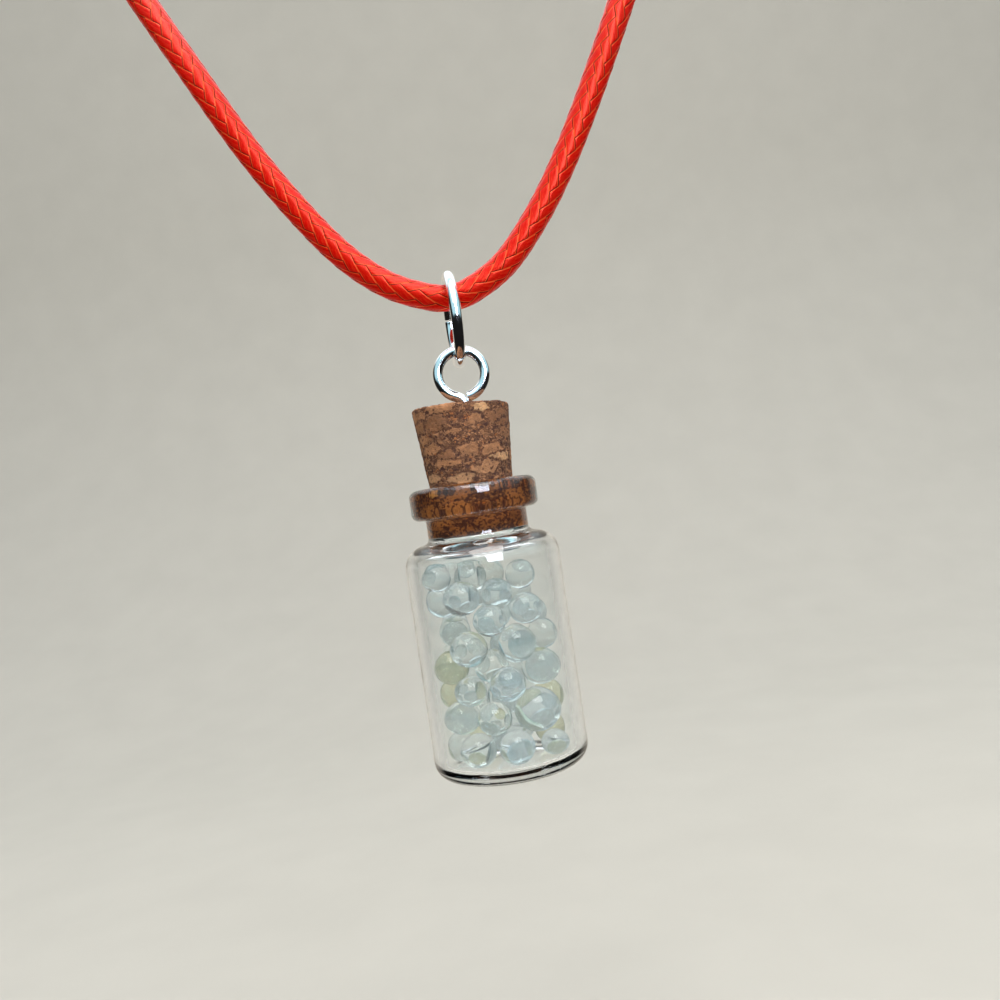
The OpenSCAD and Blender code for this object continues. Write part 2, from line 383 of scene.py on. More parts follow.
class PENDANT_OT_make_cord(bpy.types.Operator):
    """Braid the waxed cord along its route"""

    bl_idname = "pendant.make_cord"
    bl_label = "Cord"

    def execute(self, context):
        cord = context.scene.pendant.cord
        sides = STRANDS * STRAND_STEPS
        repeat = BRAID_REPEAT * STRAND_STEPS
        middles = evenly_spaced(curve_points(ROUTE, CURVE_STEPS), cord.pitch / STRAND_STEPS)
        last = len(middles) - 1
        drops = [
            [strand_drop(m / STRAND_STEPS, n / STRAND_STEPS, cord) for m in range(repeat)]
            for n in range(repeat)
        ]

        corners = []
        side = Vector((0, 0, 1))
        for n, middle in enumerate(middles):
            heading = (middles[min(n + 1, last)] - middles[max(n - 1, 0)]).normalized()
            side = (side - heading * side.dot(heading)).normalized()
            other = heading.cross(side)
            for m in range(sides):
                turn = math.tau * m / sides + cord.twist * (n / last - 0.5)
                reach = cord.thickness / 2 - drops[n % repeat][m % repeat]
                corners.append(middle + reach * (math.cos(turn) * side + math.sin(turn) * other))

        faces = []
        places = []
        for n in range(last):
            for m in range(sides):
                quad = [(m, n), (m + 1, n), (m + 1, n + 1), (m, n + 1)]
                _, _, top = strand_place((m + 0.5) / STRAND_STEPS, (n + 0.5) / STRAND_STEPS)
                along_seam = (m + n + 1) % STRAND_STEPS == 0
                across_seam = (m - n) % STRAND_STEPS == 0
                if along_seam or (top == 1 and not across_seam):
                    quad = quad[1:] + quad[:1]
                for triangle in ((quad[0], quad[1], quad[2]), (quad[0], quad[2], quad[3])):
                    faces.append([b * sides + a % sides for a, b in triangle])
                    places += [(a / sides, b / STRAND_STEPS) for a, b in triangle]
        faces.append([m for m in reversed(range(sides))])
        faces.append([last * sides + m for m in range(sides)])
        places += [(0.0, 0.0)] * (2 * sides)

        mesh = bpy.data.meshes.new("cord_braid")
        mesh.from_pydata(corners, [], faces)
        layer = mesh.uv_layers.new(name="braid")
        layer.data.foreach_set("uv", [x for place in places for x in place])
        mesh.validate()
        braid = bpy.data.objects.new("cord_braid", mesh)
        context.scene.collection.objects.link(braid)
        select_only(braid)
        bpy.ops.object.shade_smooth()
        finish_piece(braid, "cord_braid", "necklace", "cord", waxed_polyester(cord))
        return {"FINISHED"}


def waxed_polyester(cord):
    """Braided polyester drawn through wax: soft gloss on flat strands, with shade painted into the seams
    between them and painted highlights along their edges.
    """
    material, tree = new_material("waxed polyester braid")
    place = put(tree, "ShaderNodeSeparateXYZ", {0: put(tree, "ShaderNodeUVMap", uv_map="braid")[0]})
    turn = put(tree, "ShaderNodeMath", {0: place["X"], 1: STRANDS}, operation="MULTIPLY")[0]
    leans = [
        put(tree, "ShaderNodeMath", {0: turn, 1: place["Y"]}, operation=way)[0] for way in ("SUBTRACT", "ADD")
    ]
    cells = [put(tree, "ShaderNodeMath", {0: lean}, operation="FLOOR")[0] for lean in leans]
    parts = [put(tree, "ShaderNodeMath", {0: lean}, operation="FRACT")[0] for lean in leans]

    # The strand on top and the place on it, as strand_place finds them
    both = put(tree, "ShaderNodeMath", {0: cells[0], 1: cells[1]}, operation="ADD")[0]
    crossing = put(tree, "ShaderNodeMath", {0: both, 1: BRAID_REPEAT}, operation="FLOORED_MODULO")[0]
    second = put(tree, "ShaderNodeMath", {0: crossing, 1: 1.5}, operation="GREATER_THAN")[0]
    half = put(tree, "ShaderNodeMath", {0: crossing, 1: 2}, operation="MODULO")[0]
    across = put(tree, "ShaderNodeMix", {0: second, 2: parts[0], 3: parts[1]})[0]
    onward = put(tree, "ShaderNodeMix", {0: second, 2: parts[1], 3: parts[0]})[0]
    lengthwise = put(tree, "ShaderNodeMath", {0: half, 1: onward}, operation="ADD")[0]

    # Distance from the strand's crown line, 0 to 1, and from the middle of what shows of it, 0 to 1
    off_crown = put(tree, "ShaderNodeMath", {0: across, 1: 0.5}, operation="SUBTRACT")[0]
    off_crown = put(tree, "ShaderNodeMath", {0: off_crown}, operation="ABSOLUTE")[0]
    off_crown = put(tree, "ShaderNodeMath", {0: off_crown, 1: 2}, operation="MULTIPLY")[0]
    off_middle = put(tree, "ShaderNodeMath", {0: lengthwise, 1: 1}, operation="SUBTRACT")[0]
    off_middle = put(tree, "ShaderNodeMath", {0: off_middle}, operation="ABSOLUTE")[0]

    # Seams at the strand's sides and ends, with painted shade in them, and a painted highlight along the
    # strand's sides where light would catch them
    side_seam, end_seam, edge_glint = (
        put(
            tree, "ShaderNodeMapRange", {0: distance, 1: start, 2: full, 3: 0, 4: most},
            interpolation_type="SMOOTHSTEP",
        )[0]
        for distance, start, full, most in (
            (off_crown, 0.92, 1, 0.3), (off_middle, 0.87, 0.94, 1), (off_crown, 0.76, 0.96, 0.75),
        )
    )
    seam = put(tree, "ShaderNodeMath", {0: side_seam, 1: end_seam}, operation="MAXIMUM")[0]

    # Filaments of about 0.06 mm run along each strand, which is about 0.7 mm wide
    filaments = (11, 1.4, 1)
    apart = put(tree, "ShaderNodeMath", {0: both, 1: 7.3}, operation="MULTIPLY")[0]
    fibre_place = put(tree, "ShaderNodeCombineXYZ", {0: across, 1: lengthwise, 2: apart})[0]
    fibre_place = put(
        tree, "ShaderNodeVectorMath", {0: fibre_place, 1: filaments}, operation="MULTIPLY"
    )[0]
    fibres = put(tree, "ShaderNodeTexNoise", {"Vector": fibre_place, "Scale": 1, "Detail": 2})[0]
    # Painted glints: lighter orange streaks along the filaments
    filament_glints = put(tree, "ShaderNodeMapRange", {0: fibres, 1: 0.5, 2: 0.75, 3: 0, 4: 0.22})[0]

    # The strands' own red, with painted highlights on the edges and filaments and painted shade in the seams
    colour = cord.colour
    for share, other in ((edge_glint, cord.glint_colour), (filament_glints, cord.glint_colour), (seam, cord.seam_colour)):
        colour = put(tree, "ShaderNodeMix", {0: share, 6: colour, 7: other}, data_type="RGBA")[2]

    # The strands fall away at their sides and ends, and the filaments stand up a little
    side_fall = put(tree, "ShaderNodeMath", {0: off_crown, 1: 8}, operation="POWER")[0]
    end_fall = put(tree, "ShaderNodeMath", {0: off_middle, 1: 14}, operation="POWER")[0]
    fall = put(tree, "ShaderNodeMath", {0: side_fall, 1: end_fall}, operation="ADD")[0]
    height = put(tree, "ShaderNodeMath", {0: fall, 1: -1}, operation="MULTIPLY")[0]
    height = put(tree, "ShaderNodeMath", {0: fibres, 1: 0.12, 2: height}, operation="MULTIPLY_ADD")[0]
    bump = put(tree, "ShaderNodeBump", {"Strength": 0.6, "Distance": 0.03 * MM, "Height": height})[0]
    rough = put(tree, "ShaderNodeMapRange", {0: fibres, 1: 0.3, 2: 0.7, 3: 0.24, 4: 0.38})[0]
    rough = put(tree, "ShaderNodeMix", {0: seam, 2: rough, 3: 0.9})[0]
    shader = put(tree, "ShaderNodeBsdfPrincipled", {
        "Base Color": colour, "Roughness": rough, "Normal": bump,
        "Specular IOR Level": 0.5, "Specular Tint": cord.gloss_colour,
    })[0]
    put(tree, "ShaderNodeOutputMaterial", {"Surface": shader})
    return material


def bright_plating(name, colour, roughness):
    """Polished nickel plating on wire: mirror bright, with faint drawing marks that soften it."""
    material, tree = new_material(name)
    place = put(tree, "ShaderNodeTexCoord")["Object"]
    marks = put(tree, "ShaderNodeTexNoise", {"Vector": place, "Scale": 2.4 / MM, "Detail": 3})[0]
    wear = put(tree, "ShaderNodeTexNoise", {"Vector": place, "Scale": 0.5 / MM, "Detail": 2})[0]
    rough = put(
        tree, "ShaderNodeMapRange", {0: wear, 1: 0.35, 2: 0.7, 3: roughness, 4: roughness + 0.1}
    )[0]
    bump = put(tree, "ShaderNodeBump", {"Strength": 0.12, "Distance": 0.01 * MM, "Height": marks})[0]
    shader = put(tree, "ShaderNodeBsdfPrincipled", {
        "Base Color": colour, "Metallic": 1, "Roughness": rough, "Normal": bump,
    })[0]
    put(tree, "ShaderNodeOutputMaterial", {"Surface": shader})
    return material


class PENDANT_OT_make_clasp(bpy.types.Operator):
    """Give the barrel clasp its plating"""

    bl_idname = "pendant.make_clasp"
    bl_label = "Clasp"

    def execute(self, context):
        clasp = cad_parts["clasp"]
        metal = context.scene.pendant.metal
        plating = bright_plating("plated brass barrel", metal.colour, roughness=0.12)
        clasp.data.materials.clear()
        clasp.data.materials.append(plating)
        return {"FINISHED"}


def wire_start(place, heading, width):
    """Adds a round outline across a wire's start and leaves it selected in edit mode."""
    bpy.ops.object.select_all(action="DESELECT")
    turned = Vector(heading).to_track_quat("Z", "Y").to_euler()
    bpy.ops.mesh.primitive_circle_add(vertices=32, radius=width / 2, location=place, rotation=turned)
    obj = bpy.context.object
    bpy.ops.object.transform_apply(location=True, rotation=True)
    bpy.ops.object.mode_set(mode="EDIT")
    bpy.ops.mesh.select_all(action="SELECT")
    return obj


def close_wire(obj, edge_width):
    """Closes both ends of a wire, breaks their sharp edges and ends edit mode."""
    bpy.ops.mesh.select_all(action="SELECT")
    bpy.ops.mesh.fill_holes(sides=0)
    bpy.ops.mesh.select_all(action="SELECT")
    bpy.ops.mesh.normals_make_consistent(inside=False)
    bpy.ops.object.mode_set(mode="OBJECT")
    bevelled_from = math.radians(50)
    smooth_to = math.radians(40)
    bevel = obj.modifiers.new("edges", "BEVEL")
    bevel.width = edge_width
    bevel.segments = 3
    bevel.limit_method = "ANGLE"
    bevel.angle_limit = bevelled_from
    select_only(obj)
    bpy.ops.object.modifier_apply(modifier=bevel.name)
    bpy.ops.object.shade_smooth_by_angle(angle=smooth_to)


class PENDANT_OT_make_jump_ring(bpy.types.Operator):
    """Bend the jump ring out of round wire"""

    bl_idname = "pendant.make_jump_ring"
    bl_label = "Jump ring"

    def execute(self, context):
        metal = context.scene.pendant.metal
        low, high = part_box("jump_ring")
        middle = (low + high) / 2
        radius = (high.z - low.z - metal.ring_wire) / 2
        axis = Vector((math.cos(metal.ring_turn), math.sin(metal.ring_turn), 0))
        back = Vector((-math.sin(metal.ring_turn), math.cos(metal.ring_turn), 0))
        down = Vector((0, 0, -1))
        gap = metal.ring_cut / radius
        start = math.pi / 2 + metal.ring_cut_up + gap / 2
        place = middle + radius * (math.sin(start) * back + math.cos(start) * down)
        heading = math.cos(start) * back - math.sin(start) * down
        ring = wire_start(place, heading, metal.ring_wire)
        bpy.ops.mesh.spin(steps=128, angle=math.tau - gap, center=middle, axis=-axis)
        close_wire(ring, edge_width=0.04 * MM)
        finish_piece(
            ring, "jump_ring_wire", "ring", "jump_ring",
            bright_plating("nickel plated ring wire", metal.colour, roughness=0.05),
        )
        return {"FINISHED"}


class PENDANT_OT_make_screw_eye(bpy.types.Operator):
    """Bend the screw eye: a loop of wire that turns down into its shank"""

    bl_idname = "pendant.make_screw_eye"
    bl_label = "Screw eye"

    cut_angle: angle_prop("Cut", "Angle of the loop's cut end from straight down", 7)
    bend_angle: angle_prop("Bend", "Angle from straight down where the wire leaves the loop", 20)

    def execute(self, context):
        metal = context.scene.pendant.metal
        low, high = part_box("screw_eye")
        radius = (high.x - low.x - metal.eye_wire) / 2
        middle = Vector(((low.x + high.x) / 2, (low.y + high.y) / 2, high.z - (high.x - low.x) / 2))
        right = Vector((1, 0, 0))
        up = Vector((0, 0, 1))
        place = middle + radius * (math.sin(self.cut_angle) * right - math.cos(self.cut_angle) * up)
        heading = math.cos(self.cut_angle) * right + math.sin(self.cut_angle) * up
        eye = wire_start(place, heading, metal.eye_wire)
        bpy.ops.mesh.spin(
            steps=96, angle=math.tau - self.cut_angle - self.bend_angle, center=middle, axis=(0, 1, 0)
        )

        # The wire turns down where it meets the line of the shank
        turn = math.pi / 2 - self.bend_angle
        bend_radius = radius * math.sin(self.bend_angle) / (1 - math.sin(self.bend_angle))
        outwards = -math.sin(self.bend_angle) * right - math.cos(self.bend_angle) * up
        bend_middle = middle + (radius + bend_radius) * outwards
        bpy.ops.mesh.spin(steps=16, angle=turn, center=bend_middle, axis=(0, -1, 0))
        foot = Vector((middle.x, middle.y, bend_middle.z))
        collar = 0.15 * MM
        tip = metal.shank
        tip_width = 0.25     # of the shank's
        for drop, width in (
            (collar, metal.shank / metal.eye_wire),
            (foot.z - collar - tip - low.z, 1),
            (tip, tip_width),
        ):
            foot.z -= drop
            bpy.ops.mesh.extrude_region_move(TRANSFORM_OT_translate={"value": (0, 0, -drop)})
            bpy.ops.transform.resize(value=(width, width, 1), center_override=foot)
        close_wire(eye, edge_width=0.03 * MM)
        finish_piece(
            eye, "screw_eye_wire", "drop", "screw_eye",
            bright_plating("nickel plated steel wire", metal.colour, roughness=0.06),
        )
        return {"FINISHED"}


class PENDANT_OT_make_cork(bpy.types.Operator):
    """Turn the cork, drill it and pit its surface"""

    bl_idname = "pendant.make_cork"
    bl_label = "Cork"

    def execute(self, context):
        cork = context.scene.pendant.cork
        low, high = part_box("cork")
        middle = (low + high) / 2
        height = high.z - low.z
        top_radius = (high.x - low.x) / 2
        foot_radius = top_radius - height * math.tan(cork.slope)
        edge = cork.edge_round
        outline = [(0, 0)]
        outline += arc((foot_radius - edge, edge), edge, -90, math.degrees(-cork.slope), 5)
        outline += arc((top_radius - edge, height - edge), edge, math.degrees(-cork.slope), 90, 5)
        outline += [(0, height)]
        body = lathe(filled_in(outline, spacing=0.085 * MM), (middle.x, middle.y, low.z), steps=256)

        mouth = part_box("bottle")[1].z
        self.slant_top(body, cork, middle.x, mouth, high.z)
        self.pit(body, cork, mouth)
        self.drill(body, cork, high.z)
        finish_piece(body, "cork_stopper", "drop", "cork", agglomerated_cork(cork))
        return {"FINISHED"}

    def slant_top(self, body, cork, middle, mouth, top):
        """Slants the top, because the cork was cut a little askew, and the rows under it less and less."""
        for corner in body.data.vertices:
            share = max(0, (corner.co.z - mouth) / (top - mouth))
            corner.co.z -= share * math.tan(cork.askew) * (corner.co.x - middle)

    def pit(self, body, cork, mouth):
        """Sinks crevices and pits into the side and top, but not where the neck presses the cork smooth."""
        free = body.vertex_groups.new(name="free")
        free.add([v.index for v in body.data.vertices if v.co.z > mouth], 1, "REPLACE")
        for name, kind, size, share in (
            ("crevices", "VORONOI", cork.flake * 0.7, 0.55),
            ("pits", "CLOUDS", 0.28 * MM, 0.45),
        ):
            texture = bpy.data.textures.new(name, kind)
            texture.noise_scale = size
            if kind == "VORONOI":
                # Lowest along the borders of the cells, so the crevices run there
                texture.weight_1 = -1
                texture.weight_2 = 1
                texture.noise_intensity = 1.6
            else:
                texture.noise_depth = 2
                texture.contrast = 1.8
            displace = body.modifiers.new(name, "DISPLACE")
            displace.texture = texture
            displace.texture_coords = "LOCAL"
            displace.mid_level = 1
            displace.vertex_group = free.name
            displace.strength = cork.pit_depth * share
            select_only(body)
            bpy.ops.object.modifier_apply(modifier=displace.name)

    def drill(self, body, cork, top):
        """Drills the hole that the screw eye's shank fills."""
        low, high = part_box("screw_eye")
        clearance = 0.05 * MM
        depth = top - low.z + clearance
        bpy.ops.object.select_all(action="DESELECT")
        bpy.ops.mesh.primitive_cylinder_add(
            vertices=48, radius=cork.drill / 2, depth=2 * depth,
            location=((low.x + high.x) / 2, (low.y + high.y) / 2, top),
        )
        bit = bpy.context.object
        cut = body.modifiers.new("drill", "BOOLEAN")
        cut.operation = "DIFFERENCE"
        cut.solver = "EXACT"
        cut.object = bit
        select_only(body)
        bpy.ops.object.modifier_apply(modifier=cut.name)
        bpy.data.objects.remove(bit)


def cork_chunks(tree, place, width):
    """Parts the cork into chunks of about this width: random numbers for each, and how near its edge is."""
    settings = {"Vector": place, "Scale": 1 / width}
    colour = put(tree, "ShaderNodeTexVoronoi", settings)["Color"]
    edge = put(tree, "ShaderNodeTexVoronoi", settings, feature="DISTANCE_TO_EDGE")[0]
    return put(tree, "ShaderNodeSeparateColor", {0: colour}), edge


def agglomerated_cork(cork):
    """Ground cork pressed with glue: flat flakes among finer crumbs, all matt, with dark gaps and bark."""
    material, tree = new_material("agglomerated cork")
    place = put(tree, "ShaderNodeTexCoord")["Object"]

    # Ragged outlines: every pattern strays by about 0.2 mm
    ragged = put(tree, "ShaderNodeTexNoise", {"Vector": place, "Scale": 2.2 / MM, "Detail": 4})["Color"]
    ragged = put(tree, "ShaderNodeVectorMath", {0: ragged, 1: (0.5, 0.5, 0.5)}, operation="SUBTRACT")[0]
    ragged = put(tree, "ShaderNodeVectorMath", {0: ragged, "Scale": 0.55 * MM}, operation="SCALE")[0]
    strayed = put(tree, "ShaderNodeVectorMath", {0: place, 1: ragged}, operation="ADD")[0]

    # Flakes lie flat, more than twice as wide as they are high
    lying = put(
        tree, "ShaderNodeMapping", {"Vector": strayed, "Rotation": (0.12, 0.16, 0), "Scale": (1, 1, 2.4)}
    )[0]
    flake_draw, flake_edge = cork_chunks(tree, lying, cork.flake)
    flake_colour = put(tree, "ShaderNodeValToRGB", {0: flake_draw[0]}, stops=(
        (0, cork.dark), (0.5, cork.middle), (0.85, cork.middle), (1, cork.pale),
    ))[0]
    without_flake = 0.33
    shown = put(tree, "ShaderNodeMath", {0: flake_draw[1], 1: without_flake}, operation="GREATER_THAN")[0]
    inside = put(
        tree, "ShaderNodeMapRange", {0: flake_edge, 1: 0.07, 2: 0.12}, interpolation_type="SMOOTHSTEP"
    )[0]
    on_flake = put(tree, "ShaderNodeMath", {0: shown, 1: inside}, operation="MULTIPLY")[0]

    # Crumbs fill the rest, each its own shade, with dark gaps
    squat = put(
        tree, "ShaderNodeMapping", {"Vector": strayed, "Rotation": (0.3, -0.2, 0), "Scale": (1, 1, 1.5)}
    )[0]
    crumb_draw, crumb_edge = cork_chunks(tree, squat, cork.crumb)
    crumb_colour = put(tree, "ShaderNodeValToRGB", {0: crumb_draw[0]}, stops=(
        (0, cork.bark), (0.12, cork.dark), (0.4, cork.dark),
        (0.55, cork.middle), (0.88, cork.middle), (1, cork.amber),
    ))[0]
    gap = put(
        tree, "ShaderNodeMapRange", {0: crumb_edge, 1: 0.02, 2: 0.14, 3: 0.75, 4: 0},
        interpolation_type="SMOOTHSTEP",
    )[0]
    crumb_colour = put(tree, "ShaderNodeMix", {0: gap, 6: crumb_colour, 7: cork.bark}, data_type="RGBA")[2]

    # Specks of bark, about 0.14 mm, are thick among the crumbs and in the neck, and thin on the flakes
    speck = put(tree, "ShaderNodeTexVoronoi", {"Vector": place, "Scale": 7 / MM})["Color"]
    speck_draw = put(tree, "ShaderNodeSeparateColor", {0: speck})[0]
    level = put(tree, "ShaderNodeSeparateXYZ", {0: place})["Z"]
    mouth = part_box("bottle")[1].z
    in_neck = put(tree, "ShaderNodeMapRange", {0: level, 1: mouth + 0.1 * MM, 2: mouth - 0.2 * MM})[0]
    rarity = put(tree, "ShaderNodeMapRange", {0: on_flake, 3: 0.8, 4: 0.93})[0]
    rarity = put(tree, "ShaderNodeMath", {0: in_neck, 1: -0.25, 2: rarity}, operation="MULTIPLY_ADD")[0]
    speckled = put(tree, "ShaderNodeMath", {0: speck_draw, 1: rarity}, operation="GREATER_THAN")[0]

    # Grain of the cork's cells, about 0.1 mm, drawn coarser than the real 0.04 mm so that it shows,
    # and patches of about 1 mm that are a little lighter or darker
    grain = put(
        tree, "ShaderNodeTexNoise", {"Vector": lying, "Scale": 5 / MM, "Detail": 5, "Roughness": 0.65}
    )[0]
    light = put(tree, "ShaderNodeMapRange", {0: grain, 1: 0.3, 2: 0.7, 3: 0.62, 4: 1.34})[0]
    patches = put(tree, "ShaderNodeTexNoise", {"Vector": strayed, "Scale": 1.1 / MM, "Detail": 2})[0]
    light = put(tree, "ShaderNodeMath", {0: patches, 1: 0.9, 2: light}, operation="MULTIPLY_ADD")[0]
    light = put(tree, "ShaderNodeMath", {0: light, 1: 0.45}, operation="SUBTRACT")[0]
    colour = put(
        tree, "ShaderNodeMix", {0: on_flake, 6: crumb_colour, 7: flake_colour}, data_type="RGBA"
    )[2]
    colour = put(tree, "ShaderNodeVectorMath", {0: colour, "Scale": light}, operation="SCALE")[0]

    # Dark cracks part the flakes
    crack = put(
        tree, "ShaderNodeMapRange", {0: flake_edge, 1: 0.01, 2: 0.03, 3: 0.5, 4: 0},
        interpolation_type="SMOOTHSTEP",
    )[0]
    dark_mark = put(tree, "ShaderNodeMath", {0: speckled, 1: crack}, operation="MAXIMUM")[0]
    bark = put(tree, "ShaderNodeMath", {0: dark_mark, 1: 0.8}, operation="MULTIPLY")[0]
    colour = put(tree, "ShaderNodeMix", {0: bark, 6: colour, 7: cork.bark}, data_type="RGBA")[2]

    # The stretch in the neck, below the mouth, is tinted darker and more golden
    colour = put(
        tree, "ShaderNodeMix", {0: in_neck, 6: colour, 7: cork.pressed},
        data_type="RGBA", blend_type="MULTIPLY",
    )[2]

    # Gaps, specks and cracks lie lower, and hardly so on the flakes
    hollow = put(tree, "ShaderNodeMath", {0: gap, 1: dark_mark}, operation="MAXIMUM")[0]
    depth = put(tree, "ShaderNodeMapRange", {0: on_flake, 3: 1, 4: 0.25})[0]
    hollow = put(tree, "ShaderNodeMath", {0: hollow, 1: depth}, operation="MULTIPLY")[0]
    height = put(tree, "ShaderNodeMath", {0: grain, 1: hollow}, operation="SUBTRACT")[0]
    bump = put(tree, "ShaderNodeBump", {"Strength": 0.8, "Distance": 0.08 * MM, "Height": height})[0]
    shader = put(tree, "ShaderNodeBsdfPrincipled", {
        "Base Color": colour, "Roughness": 0.8, "Specular IOR Level": 0.3, "Normal": bump,
    })[0]
    put(tree, "ShaderNodeOutputMaterial", {"Surface": shader})
    return material


class PENDANT_OT_make_bottle(bpy.types.Operator):
    """Blow the vial: round shoulder, short neck and thick lip"""

    bl_idname = "pendant.make_bottle"
    bl_label = "Bottle"

    def execute(self, context):
        glass = context.scene.pendant.bottle
        low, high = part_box("bottle")
        middle = (low + high) / 2
        body = lathe(
            filled_in(self.outline(glass, (high.x - low.x) / 2, high.z - low.z), spacing=0.5 * MM),
            (middle.x, middle.y, low.z), steps=224,
        )
        finish_piece(body, "glass_vial", "drop", "bottle", soda_lime_glass(glass))
        return {"FINISHED"}

    def outline(self, glass, radius, height):
        """Half of the vial's section, from the middle of its underside round to the middle of its floor."""
        cork_low, cork_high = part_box("cork")
        cork = bpy.context.scene.pendant.cork
        slope = math.tan(cork.slope)
        foot_radius = (cork_high.x - cork_low.x) / 2 - (cork_high.z - cork_low.z) * slope
        bore_low = foot_radius - cork.squeeze
        bore_top = bore_low + glass.cork_depth * slope
        shoulder = height - glass.neck_height
        inner = radius - glass.wall
        ceiling = shoulder - glass.wall
        neck = glass.neck_width / 2
        lip = glass.lip_width / 2
        lip_low = height - glass.lip_height
        fine = 0.2 * MM
        inner_round = 0.6 * MM
        floor_round = 0.45 * MM
        foot, bend, root, edge = glass.base_round, glass.shoulder_round, glass.neck_round, glass.lip_round
        stand = radius - foot - fine
        punt_steps = 8
        shares = [k / punt_steps for k in range(punt_steps + 1)]
        points = [(stand * share, glass.punt * (1 - share ** 2)) for share in shares]
        points += arc((radius - foot, foot), foot, -90, 0, 12)
        points += arc((radius - bend, shoulder - bend), bend, 0, 88, 18)
        points += arc((neck + root, shoulder + root), root, -92, -180, 9)
        points += arc((neck + fine, lip_low - fine), fine, 180, 90, 5)
        points += arc((lip - edge, lip_low + edge), edge, -90, 0, 9)
        points += arc((lip - edge, height - edge), edge, 0, 90, 9)
        points += arc((bore_top + fine, height - fine), fine, 90, 180, 6)
        points += [(bore_low, height - glass.cork_depth)]
        points += arc((bore_low + 2 * fine, ceiling + 2 * fine), 2 * fine, 180, 270, 8)
        points += arc((inner - inner_round, ceiling - inner_round), inner_round, 90, 0, 9)
        points += arc((inner - floor_round, glass.base + floor_round), floor_round, 0, -90, 12)
        points += [(0, glass.base)]
        return points


def soda_lime_glass(glass):
    """Clear blown glass: sharp reflections, with faint waves from the blowing and a little dust."""
    material, tree = new_material("clear soda-lime glass")
    place = put(tree, "ShaderNodeTexCoord")["Object"]
    waves = put(tree, "ShaderNodeTexNoise", {"Vector": place, "Scale": 0.45 / MM, "Detail": 1})[0]
    bump = put(tree, "ShaderNodeBump", {"Strength": 0.3, "Distance": 0.03 * MM, "Height": waves})[0]
    dust = put(tree, "ShaderNodeTexNoise", {"Vector": place, "Scale": 5 / MM, "Detail": 4})[0]
    rough = put(tree, "ShaderNodeMapRange", {0: dust, 1: 0.55, 2: 0.8, 3: 0, 4: 0.06})[0]
    shader = put(tree, "ShaderNodeBsdfPrincipled", {
        "Base Color": glass.colour, "Roughness": rough, "Normal": bump,
        "IOR": 1.5, "Transmission Weight": 1,
    })[0]
    put(tree, "ShaderNodeOutputMaterial", {"Surface": shader})
    return material


class PENDANT_OT_make_balls(bpy.types.Operator):
    """Fill the vial with loose glass balls"""

    bl_idname = "pendant.make_balls"
    bl_label = "Glass balls"

    def execute(self, context):
        balls = context.scene.pendant.balls
        places = self.places()
        if not places:
            raise RuntimeError("the solid holds no balls")
        pattern = self.one_ball()
        drawn = random.Random(balls.seed)
        copies = [self.copy_of(pattern, place, balls, drawn) for place in places]
        bpy.data.objects.remove(pattern)
        select_only(copies[0])
        for copy in copies:
            copy.select_set(True)
        bpy.ops.object.join()
        fill = bpy.context.object
        finish_piece(fill, "glass_ball_fill", "drop", "glass_balls", cloudy_glass(balls))
        return {"FINISHED"}

    def places(self):
        """Middle and radius of each ball of the solid, from a merged copy taken apart."""
        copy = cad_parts["glass_balls"].copy()
        copy.data = copy.data.copy()
        copy.parent = None
        bpy.context.scene.collection.objects.link(copy)
        select_only(copy)
        bpy.ops.object.mode_set(mode="EDIT")
        bpy.ops.mesh.select_all(action="SELECT")
        bpy.ops.mesh.remove_doubles(threshold=MERGE)
        bpy.ops.mesh.separate(type="LOOSE")
        bpy.ops.object.mode_set(mode="OBJECT")
        found = []
        for part in list(bpy.context.selected_objects):
            corners = [v.co for v in part.data.vertices]
            low = Vector([min(c[k] for c in corners) for k in range(3)])
            high = Vector([max(c[k] for c in corners) for k in range(3)])
            found.append(((low + high) / 2, (high.z - low.z) / 2))
            bpy.data.objects.remove(part)
        return sorted(found, key=lambda ball: (round(ball[0].z, 6), round(ball[0].x, 6)))

    def one_ball(self):
        """A round ball of unit radius, with even faces all over."""
        bpy.ops.object.select_all(action="DESELECT")
        bpy.ops.mesh.primitive_ico_sphere_add(subdivisions=4, radius=1)
        ball = bpy.context.object
        bpy.ops.object.shade_smooth()
        ball.data.attributes.new("cloud", "FLOAT", "POINT")
        return ball

    def copy_of(self, pattern, place, balls, drawn):
        """One ball at its place, made a little uneven in its own way inside its round outline."""
        middle, radius = place
        lumps = 0.9
        more_clear = 1.3
        ball = pattern.copy()
        ball.data = pattern.data.copy()
        bpy.context.scene.collection.objects.link(ball)
        shift = Vector([drawn.uniform(-9, 9) for _ in range(3)])
        for corner in ball.data.vertices:
            dent = balls.unevenness * (1 + noise.noise(corner.co * lumps + shift))
            corner.co = middle + corner.co * radius * (1 - dent / 2)
        cloud = drawn.random() ** more_clear
        ball.data.attributes["cloud"].data.foreach_set("value", [cloud] * len(ball.data.vertices))
        return ball


